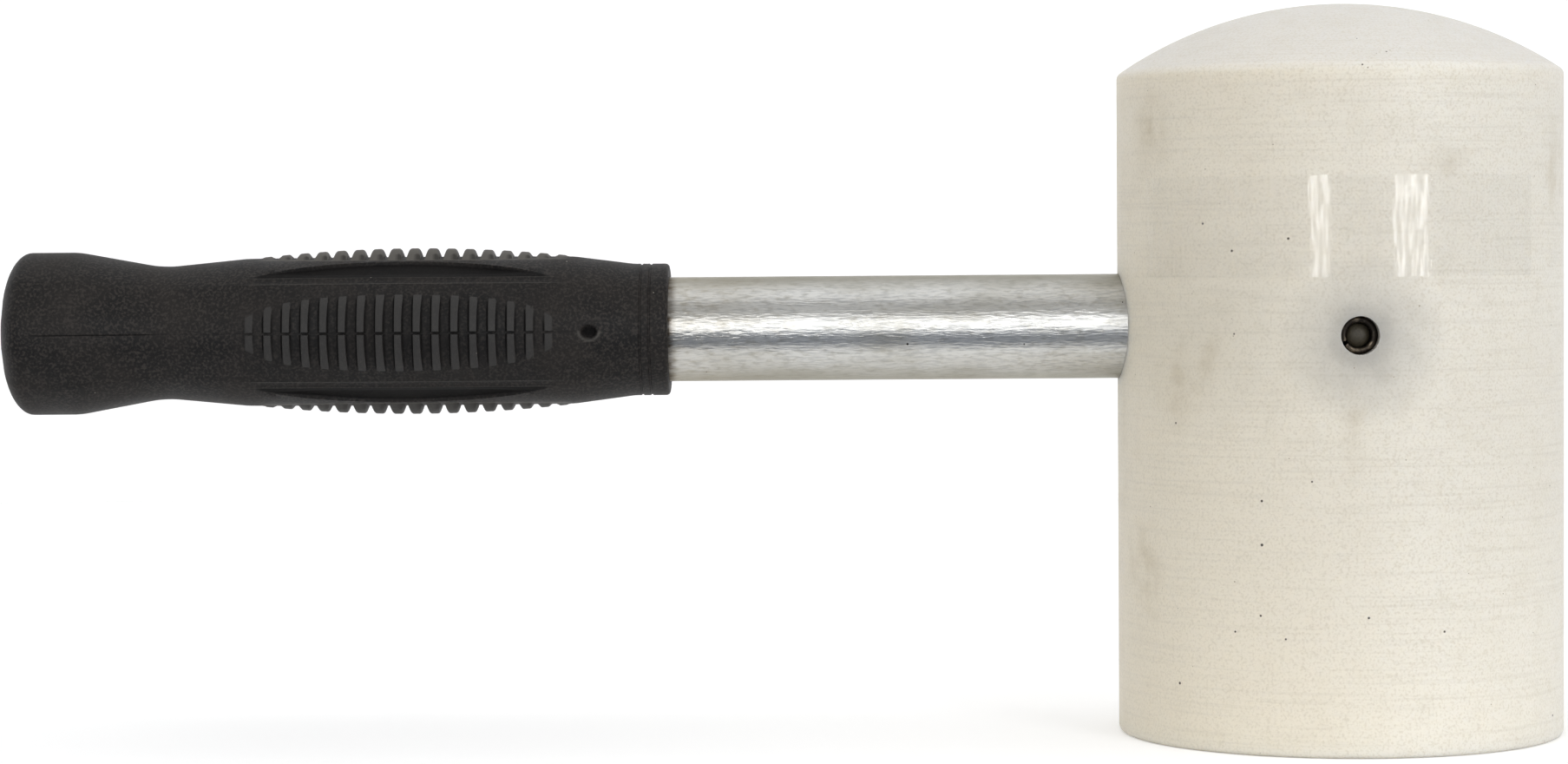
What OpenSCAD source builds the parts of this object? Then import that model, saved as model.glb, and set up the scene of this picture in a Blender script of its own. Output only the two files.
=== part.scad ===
// Nylon paving mallet: a turned head with one domed and one flat face, on a
// zinc-plated steel tube with a moulded rubber grip.
// Millimetres. The origin is the centre of the flat striking face, +Z runs up the
// head's axis to the domed face, and the handle runs along -X.

/* [Head] */
// Diameter of the nylon bar that the head is turned from
head_d = 90; // [75:1:110]
// Height of the straight side, from the flat face to the rim of the dome
side_h = 134; // [115:1:160]
// Rise of the domed face above its rim
dome_rise = 14; // [8:0.5:20]
// Edge radius at the rim of the dome
rim_edge_r = 1.5; // [0.5:0.1:3]
// Edge radius round the flat face
flat_edge_r = 1.2; // [0.5:0.1:3]

/* [Handle tube] */
// Outside diameter of the steel tube
tube_d = 21.3; // [19:0.1:23]
// Wall of the tube
tube_wall = 2; // [1:0.1:3]
// Height of the tube's axis above the flat face
handle_h = 83; // [60:1:95]
// Distance of the blind socket's end beyond the head's axis
socket_past = 20; // [14:1:26]
// Length of bare tube between the head's side and the grip
bare_l = 91; // [60:1:140]
// Gap all round the tube in its socket and in the grip
tube_gap = 0.05; // [0.03:0.01:0.2]

/* [Cross pin] */
// Diameter of the spring pin as it sits, squeezed in its hole
pin_d = 7.4; // [5:0.1:9]
// Gap all round the pin in its hole
pin_gap = 0.05; // [0.03:0.01:0.2]
// Wall of the rolled pin
pin_wall = 1.3; // [0.8:0.1:2]
// Width of the pin's slot
pin_slot_w = 1; // [0.5:0.1:2]
// Direction of the slot, seen from the front and counted from +X
pin_slot_turn = 209; // [0:1:359]
// Depth of each end of the pin below the side of the head
pin_recess = 2.5; // [1:0.1:6]
// Chamfer at the ends of the pin
pin_chamfer = 0.6; // [0.2:0.1:0.7]
// Distance of the pin from the head's axis, towards the handle
pin_back = 1.5; // [0:0.1:6]
// Distance of the pin below the tube's axis
pin_drop = 1.1; // [0:0.1:3]

/* [Label film] */
// Height of the film
film_h = 19.6; // [10:0.1:30]
// Height of the film's lower edge above the flat face
film_edge_h = 93.2; // [92:0.1:100]
// Angle that the film covers round the head
film_wrap = 113; // [40:1:160]
// Turn of the film's middle from the front of the head, towards the handle
film_turn = 8; // [-15:1:15]
// Thickness of the film
film_t = 0.12; // [0.08:0.01:0.3]
// Thickness of the adhesive between the head and the film
film_gap = 0.03; // [0.02:0.01:0.1]

/* [Grip] */
// Overall length of the grip
grip_l = 137; // [110:1:170]
// Thickness of the closed end beyond the tube
end_wall = 5; // [4:0.5:12]
// Diameter of the knob
knob_d = 33.2; // [31:0.1:38]
// Diameter of the flat in the middle of the knob's end
knob_flat_d = 8; // [4:0.5:14]
// Length of the rounded end of the knob
knob_round_l = 6; // [3:0.5:9]
// Distance of the knob's shoulder from the end
shoulder_at = 15.6; // [14:0.1:20]
// Diameter of the waist
waist_d = 26.8; // [26:0.1:29]
// Distance of the waist from the end
waist_at = 33; // [28:0.5:38]
// Diameter of the barrel at its ends
barrel_d = 30.1; // [29.4:0.1:32]
// Swell of the barrel's radius towards its middle
barrel_swell = 0.15; // [0.1:0.01:0.4]
// Distance of the start of the barrel from the end
barrel_at = 50; // [46:0.5:52]
// Length of the taper from the barrel to the collar
taper_l = 12.3; // [9:0.1:16]
// Diameter of the collar at the mouth
collar_d = 26.9; // [25.5:0.1:28]
// Length of the collar
collar_l = 7.7; // [7:0.1:9]
// Edge radius at the mouth
mouth_edge_r = 0.8; // [0.3:0.1:1.2]
// Blend radius where two slopes of the grip meet
blend_r = 12; // [6:1:16]
// Distance of the first ring groove from the mouth
ring_at = 4; // [3.5:0.1:4.2]
// Distance between the two ring grooves
ring_pitch = 1.9; // [1.2:0.1:2.4]
// Width of a ring groove
ring_w = 0.4; // [0.2:0.1:0.8]
// Depth of a ring groove
ring_depth = 0.2; // [0.1:0.05:0.4]
// Diameter of the moulding gate's dimple
gate_d = 3; // [2:0.1:4]
// Depth of the dimple
gate_depth = 0.6; // [0.3:0.1:0.9]
// Distance of the dimple from the end of the barrel
gate_at = 3.8; // [2.5:0.1:6]

/* [Grip ribs] */
// Distance from rib to rib, which also sets how many ribs the barrel takes
rib_pitch = 3.77; // [3.77:0.01:5]
// Least distance from the middle of the last rib to the end of the barrel
rib_margin = 3.3; // [3.2:0.1:8]
// Height of the middle rib above the barrel
rib_h = 1.75; // [1:0.05:2.2]
// Width of the two side pads
side_pad_w = 15.5; // [12:0.1:16]
// Crest width of the side pads' ribs
side_crest_w = 1.35; // [1.2:0.05:1.8]
// Flank angle of the side pads' ribs
side_draft = 7; // [5:1:14]
// Width of the top and bottom pads
top_pad_w = 9; // [7:0.1:10]
// Crest width of the top and bottom pads' ribs
top_crest_w = 1.8; // [1.2:0.05:1.9]
// Flank angle of the top and bottom pads' ribs
top_draft = 18; // [8:1:18]
// Gap in the side pads' ribs along the moulding line
parting_gap = 0.4; // [0.2:0.05:0.8]

/* [Grip scoops] */
// Angle of the scoops from the middle of the side pads
scoop_turn = 58.5; // [52:0.5:59]
// Distance of a scoop's tips from the ends of the barrel
scoop_margin = 2; // [1:0.5:10]
// Width of a scoop at its middle
scoop_w = 6; // [4:0.1:6.6]
// Depth of a scoop at its middle
scoop_depth = 1; // [0.6:0.05:1.4]

/* [Hidden] */
$fn = 96;
// Steps in a blend, in the knob's end and in the dome
blend_steps = 6;
knob_steps = 12;
dome_steps = 40;
// Overshoot of a cut past the face that it opens
past = 1;
// Depth of a rib's foot below the barrel at the edge of its pad
rib_root = 0.4;

head_r = head_d / 2;
dome_r = (head_r * head_r + dome_rise * dome_rise) / (2 * dome_rise);
dome_z = side_h + dome_rise - dome_r;
rim_z = dome_z + sqrt(pow(dome_r - rim_edge_r, 2) - pow(head_r - rim_edge_r, 2));
rim_angle = asin((head_r - rim_edge_r) / (dome_r - rim_edge_r));

tube_r = tube_d / 2;
mouth_x = -head_r - bare_l;
knob_x = mouth_x - grip_l;

pin_r = pin_d / 2;
pin_x = -pin_back;
pin_z = handle_h - pin_drop;
pin_l = 2 * (sqrt(head_r * head_r - pin_x * pin_x) - pin_recess);

knob_r = knob_d / 2;
knob_flat_r = knob_flat_d / 2;
waist_r = waist_d / 2;
barrel_r = barrel_d / 2;
collar_r = collar_d / 2;
collar_at = grip_l - collar_l;
barrel_end = collar_at - taper_l;
barrel_l = barrel_end - barrel_at;
barrel_mid = barrel_at + barrel_l / 2;
barrel_mid_r = barrel_r + barrel_swell;
crest_r = barrel_mid_r + rib_h;
rib_count = 2 * floor((barrel_l / 2 - rib_margin) / rib_pitch) + 1;
pad_l = rib_count * rib_pitch;
// The side pads and the top and bottom pads stand half a rib apart
stagger = rib_pitch / 2;
side_mid = barrel_mid - stagger / 2;
top_mid = barrel_mid + stagger / 2;
scoop_l = barrel_l - 2 * scoop_margin;

// Points of an arc about [x, y], from angle a to angle b
function arc(x, y, r, a, b, steps) =
    [for (i = [0 : steps]) [x + r * cos(a + (b - a) * i / steps), y + r * sin(a + (b - a) * i / steps)]];

// Points of a quarter ellipse from the flat middle of the knob's end to its side
function knob_end() =
    [for (i = [0 : knob_steps])
        [knob_flat_r + (knob_r - knob_flat_r) * sin(90 * i / knob_steps),
         knob_round_l * (1 - cos(90 * i / knob_steps))]];

// Points that blend the corner at c, between a and b, with radius r
function blend(a, c, b, r) =
    let (
        u = (a - c) / norm(a - c),
        v = (b - c) / norm(b - c),
        half = acos(u * v) / 2,
        mid = (u + v) / norm(u + v),
        centre = c + mid * r / sin(half),
        start = c + u * r / tan(half) - centre,
        end = c + v * r / tan(half) - centre,
        from = atan2(start[1], start[0]),
        turn = atan2(start[0] * end[1] - start[1] * end[0], start * end)
    )
    arc(centre[0], centre[1], r, from, from + turn, blend_steps);

// Points along the swelling barrel, one in each valley between the side pads' ribs
function barrel_line() =
    [for (i = [1 : rib_count - 1])
        let (
            u = side_mid + (i - rib_count / 2) * rib_pitch,
            share = 2 * (u - barrel_mid) / barrel_l
        )
        [barrel_r + barrel_swell * (1 - share * share), u]];

// Radius of the arc that has this half width and this rise
function arc_r(half_w, rise) = (half_w * half_w + rise * rise) / (2 * rise);

// How far a circle of radius r falls away at this half width
function fall(r, half_w) = r - sqrt(r * r - half_w * half_w);

// Half outline of the head, as [radius, height]
head_outline = concat(
    [[0, 0]],
    arc(head_r - flat_edge_r, flat_edge_r, flat_edge_r, -90, 0, blend_steps),
    arc(head_r - rim_edge_r, rim_z, rim_edge_r, 0, 90 - rim_angle, blend_steps),
    [for (i = [1 : dome_steps])
        let (a = rim_angle * (1 - i / dome_steps))
        [dome_r * sin(a), dome_z + dome_r * cos(a)]]
);

// Corners of the grip's side, as [radius, distance from the knob's end]
shoulder = [knob_r, shoulder_at];
waist = [waist_r, waist_at];
barrel_start = [barrel_r, barrel_at];
barrel_stop = [barrel_r, barrel_end];
collar_start = [collar_r, collar_at];
mouth = [collar_r, grip_l];

// Half outline of the grip
grip_outline = concat(
    [[0, 0]],
    knob_end(),
    blend([knob_r, knob_round_l], shoulder, waist, blend_r),
    blend(shoulder, waist, barrel_start, blend_r),
    blend(waist, barrel_start, barrel_stop, blend_r),
    barrel_line(),
    blend(barrel_start, barrel_stop, collar_start, blend_r),
    blend(barrel_stop, collar_start, mouth, blend_r),
    blend(collar_start, mouth, [0, grip_l], mouth_edge_r),
    [[0, grip_l]]
);

// A cylinder along +X from this place
module along_x(r, from, to) {
    translate([from, 0, 0])
        rotate([0, 90, 0])
            cylinder(r = r, h = to - from);
}

// The hole for the cross pin, right through head and tube
module pin_hole() {
    translate([pin_x, 0, pin_z])
        rotate([90, 0, 0])
            cylinder(r = pin_r + pin_gap, h = head_d + 2 * past, center = true);
}

module head() {
    color("#dcd7ca")
        difference() {
            rotate_extrude()
                polygon(head_outline);
            translate([0, 0, handle_h])
                along_x(tube_r + tube_gap, -head_r - past, socket_past);
            pin_hole();
        }
}

module handle_tube() {
    color("#b9bcc0")
        difference() {
            translate([0, 0, handle_h])
                difference() {
                    along_x(tube_r, knob_x + end_wall, socket_past);
                    along_x(tube_r - tube_wall, knob_x + end_wall - past, socket_past + past);
                }
            pin_hole();
        }
}

// A ring segment bent along the grip: a round bar of radius bar_r whose outer line is
// an arc of radius bend_r, touching the origin at its middle and lying below it
module bent_bar(bar_r, bend_r, half_l) {
    sweep = 2 * asin(half_l / bend_r);
    translate([0, 0, -bend_r])
        rotate([90, 0, 0])
            rotate([0, 0, 90 - sweep / 2])
                rotate_extrude(angle = sweep)
                    translate([bend_r - bar_r, 0])
                        circle(bar_r);
}

// Wedges across the grip that cut a bent bar into ribs
module rib_wedges(crest_w, draft, deep) {
    foot_w = crest_w + 2 * deep * tan(draft);
    for (i = [0 : rib_count - 1])
        translate([(i - (rib_count - 1) / 2) * rib_pitch, 0, 0])
            rotate([90, 0, 0])
                linear_extrude(height = barrel_d, center = true)
                    polygon([[-foot_w / 2, -deep], [foot_w / 2, -deep], [crest_w / 2, 0], [-crest_w / 2, 0]]);
}

// One pad of ribs on top of the barrel, about the middle of the pad
module rib_pad(pad_w, crest_w, draft) {
    edge_fall = rib_h + fall(barrel_mid_r, pad_w / 2);
    bar_r = arc_r(pad_w / 2, edge_fall);
    translate([0, 0, crest_r])
        intersection() {
            bent_bar(bar_r, arc_r(pad_l / 2, rib_h), pad_l / 2);
            rib_wedges(crest_w, draft, edge_fall + rib_root);
        }
}

// A side pad, parted along the moulding line
module side_pad() {
    difference() {
        rib_pad(side_pad_w, side_crest_w, side_draft);
        translate([0, 0, barrel_mid_r])
            cube([pad_l, parting_gap, barrel_d], center = true);
    }
}

// The cutter for one scoop on top of the barrel: a flat pocket between a straight edge and an arched one
module scoop() {
    arch_r = arc_r(scoop_l / 2, scoop_w);
    translate([0, -scoop_w / 2, barrel_mid_r - scoop_depth])
        intersection() {
            translate([0, scoop_w - arch_r, 0])
                cylinder(r = arch_r, h = scoop_depth + past);
            translate([-scoop_l / 2, 0, 0])
                cube([scoop_l, scoop_w, scoop_depth + past]);
        }
}

// Both scoops beside the pad that lies on top of the barrel
module scoop_pair() {
    for (flip = [0, 1])
        mirror([0, flip, 0])
            rotate([-scoop_turn, 0, 0])
                scoop();
}

// Two shallow rings round the collar
module ring_grooves() {
    for (i = [0, 1])
        translate([grip_l - ring_at - i * ring_pitch, 0, 0])
            rotate([0, 90, 0])
                rotate_extrude()
                    translate([collar_r - ring_depth, -ring_w / 2])
                        square([past + ring_depth, ring_w]);
}

// The dimple that the moulding gate leaves on the front of the taper
module gate_dimple() {
    dimple_r = arc_r(gate_d / 2, gate_depth);
    gate_r = barrel_r - (barrel_r - collar_r) * gate_at / taper_l;
    translate([barrel_end + gate_at, -gate_r - dimple_r + gate_depth, 0])
        sphere(dimple_r);
}

// The grip along +X, with the knob's end at the origin
module grip_moulding() {
    difference() {
        union() {
            difference() {
                rotate([0, 90, 0])
                    rotate_extrude()
                        polygon(grip_outline);
                for (turn = [90, 270])
                    rotate([turn, 0, 0])
                        translate([side_mid, 0, 0])
                            scoop_pair();
                ring_grooves();
                gate_dimple();
            }
            for (turn = [90, 270])
                rotate([turn, 0, 0])
                    translate([side_mid, 0, 0])
                        side_pad();
            for (turn = [0, 180])
                rotate([turn, 0, 0])
                    translate([top_mid, 0, 0])
                        rib_pad(top_pad_w, top_crest_w, top_draft);
        }
        along_x(tube_r + tube_gap, end_wall, grip_l + past);
    }
}

module grip() {
    color("#2b2a2a")
        translate([knob_x, 0, handle_h])
            grip_moulding();
}

module cross_pin() {
    bore_r = pin_r - pin_wall;
    color("#3a3532")
        translate([pin_x, 0, pin_z])
            rotate([90, 0, 0])
                difference() {
                    rotate_extrude()
                        polygon([
                            [bore_r, -pin_l / 2],
                            [pin_r - pin_chamfer, -pin_l / 2],
                            [pin_r, -pin_l / 2 + pin_chamfer],
                            [pin_r, pin_l / 2 - pin_chamfer],
                            [pin_r - pin_chamfer, pin_l / 2],
                            [bore_r, pin_l / 2]
                        ]);
                    rotate([0, 0, pin_slot_turn])
                        translate([0, -pin_slot_w / 2, -pin_l / 2 - past])
                            cube([pin_r + past, pin_slot_w, pin_l + 2 * past]);
                }
}

module label_film() {
    front = 270;
    color("#e8e8e4")
        rotate([0, 0, front - film_turn - film_wrap / 2])
            rotate_extrude(angle = film_wrap)
                translate([head_r + film_gap, film_edge_h])
                    square([film_t, film_h]);
}

head();
handle_tube();
grip();
cross_pin();
label_film();
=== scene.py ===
# %% [markdown]
# # Dressing a nylon paving mallet
#
# A paver's mallet is a bar of turned nylon on a plated steel tube, with a grip of moulded rubber. The CAD
# model gives its sizes. This lesson gives it smooth shapes, finishes, a camera and light.
# Everything stays in the CAD model's own frame, in metres: the flat striking face stands on the floor at
# the origin, the head rises along +Z, and the handle runs along -X.

import math

import bmesh
import bpy
import numpy as np
from mathutils import Matrix, Vector


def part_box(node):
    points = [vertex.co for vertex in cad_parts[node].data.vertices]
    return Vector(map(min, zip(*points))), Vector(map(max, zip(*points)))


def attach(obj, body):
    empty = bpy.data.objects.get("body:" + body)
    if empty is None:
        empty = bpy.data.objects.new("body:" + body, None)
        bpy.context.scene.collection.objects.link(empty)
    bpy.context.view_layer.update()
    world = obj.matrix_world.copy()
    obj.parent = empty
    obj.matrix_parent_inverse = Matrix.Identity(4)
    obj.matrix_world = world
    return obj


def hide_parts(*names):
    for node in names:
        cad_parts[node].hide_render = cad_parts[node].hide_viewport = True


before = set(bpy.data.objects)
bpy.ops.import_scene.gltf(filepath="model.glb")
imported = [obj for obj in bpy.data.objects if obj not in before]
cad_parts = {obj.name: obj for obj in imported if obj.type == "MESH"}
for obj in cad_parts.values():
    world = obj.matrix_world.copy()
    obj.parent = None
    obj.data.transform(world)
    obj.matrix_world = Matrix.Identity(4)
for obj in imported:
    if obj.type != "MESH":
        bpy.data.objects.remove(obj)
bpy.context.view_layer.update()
print("CAD nodes:", sorted(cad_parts))

# %% [markdown]
# ## Driving sizes
#
# The main sizes are read from the CAD nodes' boxes, so a new pack with other sizes is dressed to fit. They
# are kept in millimetres, as a workshop drawing would have them. A vertex is placed in metres.

# %% Driving sizes
MM = 0.001


def box_mm(node):
    """The lowest and highest corner of a CAD node, in millimetres."""
    return [Vector(corner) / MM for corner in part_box(node)]


head_low, head_high = box_mm("head")
tube_low, tube_high = box_mm("handle_tube")
grip_low, grip_high = box_mm("grip")
pin_low, pin_high = box_mm("cross_pin")
film_low, film_high = box_mm("label_film")

HEAD_R = (head_high.x - head_low.x) / 2
HEAD_H = head_high.z
TUBE_R = (tube_high.z - tube_low.z) / 2
HANDLE_H = (tube_high.z + tube_low.z) / 2
PIN_R = (pin_high.z - pin_low.z) / 2
PIN_X = (pin_high.x + pin_low.x) / 2
PIN_Z = (pin_high.z + pin_low.z) / 2
GRIP_L = grip_high.x - grip_low.x
FIT_GAP = 0.05
print("head %.1f by %.1f, tube %.2f, pin %.2f, grip %.1f long" % (
    2 * HEAD_R, HEAD_H, 2 * TUBE_R, 2 * PIN_R, GRIP_L,
))

# %% [markdown]
# ## The camera
#
# The photograph was taken from close by, a little above the handle and nearer to the head than to the
# grip, so the head's rim and foot both curve. A camera fitted to those curves stands 0.79 m in front of
# the handle. It is placed first, because every later choice is judged through it.

# %% Camera
PHOTO_WIDTH = 1807
FOCAL_PIXELS = 4441
SENSOR_WIDTH = 36
CAMERA_PLACE = Vector((-100.0, -787.7, 102.7)) * MM
CAMERA_YAW = math.radians(0.966)
CAMERA_PITCH = math.radians(-2.23)
CAMERA_ROLL = math.radians(-0.45)

camera_data = bpy.data.cameras.new("photo_camera")
camera_data.sensor_fit = "HORIZONTAL"
camera_data.sensor_width = SENSOR_WIDTH
camera_data.lens = SENSOR_WIDTH * FOCAL_PIXELS / PHOTO_WIDTH
camera_data.clip_start = 0.01
camera = bpy.data.objects.new("photo_camera", camera_data)
camera.matrix_world = (
    Matrix.Translation(CAMERA_PLACE)
    @ Matrix.Rotation(CAMERA_YAW, 4, "Z")
    @ Matrix.Rotation(math.radians(90) + CAMERA_PITCH, 4, "X")
    @ Matrix.Rotation(CAMERA_ROLL, 4, "Z")
)
bpy.context.scene.collection.objects.link(camera)
bpy.context.scene.camera = camera
bpy.context.scene.view_settings.view_transform = "Standard"
print("camera lens: %.1f mm" % camera_data.lens)

# %% [markdown]
# ## Small helpers
#
# A turned or moulded piece starts as a wire outline that is spun about its axis, so most pieces end in the
# same few steps: merge doubled vertices, turn the faces outwards, and shade smoothly up to an angle.
# Colours are written as sRGB hex values, as a paint shop would, and turned to linear light in one place.
# Node materials are long, so one function adds a node with its settings and its links.

# %% Helpers
MERGE_DIST = 0.0005 * MM
SMOOTH_UNDER = 35


def linear(hex_colour):
    """An sRGB hex value as a linear colour with full alpha."""
    shares = [int(hex_colour[i:i + 2], 16) / 255 for i in (1, 3, 5)]
    return tuple(s / 12.92 if s <= 0.04045 else ((s + 0.055) / 1.055) ** 2.4 for s in shares) + (1.0,)


def empty_material(name):
    """A material with an empty node tree, and that tree."""
    material = bpy.data.materials.new(name)
    material.use_nodes = True
    material.node_tree.nodes.clear()
    return material, material.node_tree


def add_node(tree, kind, inputs=None, **settings):
    """Adds a node, sets its settings, and sets or links its inputs."""
    node = tree.nodes.new(kind)
    for name, value in settings.items():
        setattr(node, name, value)
    for socket, value in (inputs or {}).items():
        if isinstance(value, bpy.types.NodeSocket):
            tree.links.new(value, node.inputs[socket])
        else:
            node.inputs[socket].default_value = value
    return node


def shade(piece, crease):
    """Shades smoothly where faces meet at less than this angle, in degrees."""
    piece.data.shade_smooth()
    piece.data.set_sharp_from_angle(angle=math.radians(crease))


def finished(name, bm, crease=SMOOTH_UNDER):
    """Makes a bmesh into an object at the origin: merged, facing outwards and smooth up to an angle."""
    bmesh.ops.remove_doubles(bm, verts=bm.verts, dist=MERGE_DIST)
    bmesh.ops.recalc_face_normals(bm, faces=bm.faces)
    mesh = bpy.data.meshes.new(name)
    bm.to_mesh(mesh)
    bm.free()
    piece = bpy.data.objects.new(name, mesh)
    bpy.context.scene.collection.objects.link(piece)
    shade(piece, crease)
    return piece


def dress(piece, node, material):
    """The piece rides on the one rigid body, stands for its CAD node, and takes its finish."""
    piece.data.materials.clear()
    piece.data.materials.append(material)
    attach(piece, "root")
    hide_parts(node)
    print("%s is %s: %d faces" % (piece.name, material.name, len(piece.data.polygons)))


print("mid grey in linear light: %.3f" % linear("#808080")[0])

# %% [markdown]
# ## Outlines
#
# A lathe hand thinks in outlines: straight runs joined by corners, with a radius at each corner. The wire
# is drawn the same way. Corners are plain vertices, and a vertex bevel turns a corner into an arc. The
# bevel wants a distance along the edge, so the radius is converted with the corner's turn.

# %% Outline helpers
def draw_outline(bm, corners):
    """A wire through corners given in millimetres. Returns its vertices."""
    verts = [bm.verts.new(Vector(c) * MM) for c in corners]
    for a, b in zip(verts, verts[1:]):
        bm.edges.new((a, b))
    return verts


def round_corner(bm, vert, radius, segments):
    """Bevels one corner of a wire to an arc of this radius, in millimetres."""
    a, b = [(e.other_vert(vert).co - vert.co).normalized() for e in vert.link_edges]
    half_turn = (math.pi - a.angle(b)) / 2
    bmesh.ops.bevel(
        bm, geom=[vert], offset=radius * MM * math.tan(half_turn), offset_type="OFFSET",
        segments=segments, profile=0.5, affect="VERTICES", material=-1,
    )


def spin_round(bm, centre, axis, steps):
    """Spins everything in a bmesh a full turn about an axis and closes the seam."""
    bmesh.ops.spin(
        bm, geom=bm.verts[:] + bm.edges[:], cent=Vector(centre) * MM, axis=axis,
        angle=math.tau, steps=steps, use_merge=True,
    )


def drill(piece, radius, start, end):
    """Drills a round hole between two points, all in millimetres, and keeps the result as the mesh."""
    start, end = Vector(start) * MM, Vector(end) * MM
    turned = (end - start).to_track_quat("Z", "Y").to_matrix().to_4x4()
    bit = bmesh.new()
    bmesh.ops.create_cone(
        bit, cap_ends=True, segments=64, radius1=radius * MM, radius2=radius * MM,
        depth=(end - start).length, matrix=Matrix.Translation((start + end) / 2) @ turned,
    )
    cutter = finished("drill_bit", bit)
    cut = piece.modifiers.new("drill", "BOOLEAN")
    cut.operation = "DIFFERENCE"
    cut.solver = "EXACT"
    cut.object = cutter
    depsgraph = bpy.context.evaluated_depsgraph_get()
    drilled = bpy.data.meshes.new_from_object(piece.evaluated_get(depsgraph))
    piece.modifiers.clear()
    piece.data = drilled
    bpy.data.objects.remove(cutter)


print("outline tools ready: draw, round, spin, drill")

# %% [markdown]
# ## The head
#
# The head is turned from a bar of nylon: a straight side, a flat face with a small edge radius, and a
# domed face. The dome is an arc, so one vertex at its top is spun down to the rim to draw it, and the side
# and the foot follow as corners. On the real tool the socket for the tube and the hole for the pin
# are drilled afterwards, and so they are here, by a Boolean modifier whose result is kept.

# %% Head shape
DOME_RISE = 14.0
RIM_EDGE_R = 1.5
FLAT_EDGE_R = 1.2
HEAD_STEPS = 256
DOME_STEPS = 36
EDGE_SEGMENTS = 5
DRILL_CLEAR = 5.0


def make_head():
    bm = bmesh.new()
    dome_r = (HEAD_R ** 2 + DOME_RISE ** 2) / (2 * DOME_RISE)
    top = bm.verts.new(Vector((0, 0, HEAD_H)) * MM)
    arc = bmesh.ops.spin(
        bm, geom=[top], cent=Vector((0, 0, HEAD_H - dome_r)) * MM, axis=(0, 1, 0),
        angle=math.asin(HEAD_R / dome_r), steps=DOME_STEPS,
    )
    rim = arc["geom_last"][0]
    foot = draw_outline(bm, [(HEAD_R, 0, 0), (0, 0, 0)])[0]
    bm.edges.new((rim, foot))
    round_corner(bm, rim, RIM_EDGE_R, EDGE_SEGMENTS)
    round_corner(bm, foot, FLAT_EDGE_R, EDGE_SEGMENTS)
    spin_round(bm, (0, 0, 0), (0, 0, 1), HEAD_STEPS)
    head = finished("head_nylon", bm)
    outside = HEAD_R + DRILL_CLEAR
    drill(head, TUBE_R + FIT_GAP, (-outside, 0, HANDLE_H), (tube_high.x, 0, HANDLE_H))
    drill(head, PIN_R + FIT_GAP, (PIN_X, -outside, PIN_Z), (PIN_X, outside, PIN_Z))
    shade(head, SMOOTH_UNDER)
    return head


head = make_head()
print("head turned and drilled:", len(head.data.polygons), "faces")

# %% [markdown]
# ## The handle tube
#
# A plain drawn tube with broken edges at both cut ends. Its wall is four corners, each with a small
# radius, spun about the handle's axis. The pin hole is drilled through.

# %% Tube shape
TUBE_WALL = 2.0
TUBE_EDGE_R = 0.3
TUBE_STEPS = 128


def make_tube():
    bm = bmesh.new()
    outer = HANDLE_H + TUBE_R
    inner = outer - TUBE_WALL
    wall = draw_outline(bm, [
        (tube_low.x, 0, inner), (tube_low.x, 0, outer), (tube_high.x, 0, outer), (tube_high.x, 0, inner),
    ])
    bm.edges.new((wall[-1], wall[0]))
    for corner in wall:
        round_corner(bm, corner, TUBE_EDGE_R, segments=2)
    spin_round(bm, (0, 0, HANDLE_H), (1, 0, 0), TUBE_STEPS)
    tube = finished("handle_tube_plated", bm)
    drill(tube, PIN_R + FIT_GAP, (PIN_X, -HEAD_R, PIN_Z), (PIN_X, HEAD_R, PIN_Z))
    shade(tube, SMOOTH_UNDER)
    return tube


tube = make_tube()
print("tube cut and drilled:", len(tube.data.polygons), "faces")

# %% [markdown]
# ## The spring pin
#
# The pin is a strip of spring steel rolled to a C. A section of its wall is one rectangle with broken
# corners, so that face is spun about the pin's axis, but not all the way: what is missing is the slot.
# Work has packed its bore with grit. A ball pressed flat at each end makes that rounded fill.

# %% Pin shape
PIN_WALL = 1.3
PIN_SLOT_W = 1.0
PIN_SLOT_TURN = math.radians(209)
PIN_CHAMFER = 0.5
PIN_STEPS = 72
GRIT_DEPTH = 2.3
GRIT_ROUND = 1.5


def make_pin():
    bm = bmesh.new()
    bore = PIN_R - PIN_WALL
    wall = draw_outline(bm, [
        (bore, pin_low.y, 0), (PIN_R, pin_low.y, 0), (PIN_R, pin_high.y, 0), (bore, pin_high.y, 0),
    ])
    bm.faces.new(wall)
    bmesh.ops.bevel(
        bm, geom=wall, offset=PIN_CHAMFER * MM, offset_type="OFFSET", segments=3, profile=0.5,
        affect="VERTICES", material=-1,
    )
    slot = 2 * math.asin(PIN_SLOT_W / 2 / PIN_R)
    # Seen from the front, a turn from +X towards +Z is a turn about -Y
    bmesh.ops.rotate(
        bm, verts=bm.verts, cent=(0, 0, 0), matrix=Matrix.Rotation(-PIN_SLOT_TURN - slot / 2, 3, "Y"),
    )
    bmesh.ops.spin(
        bm, geom=bm.verts[:] + bm.edges[:] + bm.faces[:], cent=(0, 0, 0), axis=(0, -1, 0),
        angle=math.tau - slot, steps=PIN_STEPS,
    )
    bmesh.ops.translate(bm, verts=bm.verts, vec=Vector((PIN_X, 0, PIN_Z)) * MM)
    return finished("spring_pin", bm)


def make_grit():
    bm = bmesh.new()
    flat_ball = Matrix.Diagonal((PIN_R - PIN_WALL, GRIT_ROUND, PIN_R - PIN_WALL, 1))
    for end in (pin_low.y + GRIT_DEPTH, pin_high.y - GRIT_DEPTH):
        place = Matrix.Translation(Vector((PIN_X, end, PIN_Z)) * MM)
        bmesh.ops.create_uvsphere(
            bm, u_segments=32, v_segments=16, radius=MM, matrix=place @ flat_ball,
        )
    return finished("pin_grit", bm)


pin = make_pin()
grit = make_grit()
print("pin rolled:", len(pin.data.polygons), "faces, grit", len(grit.data.polygons))

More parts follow.
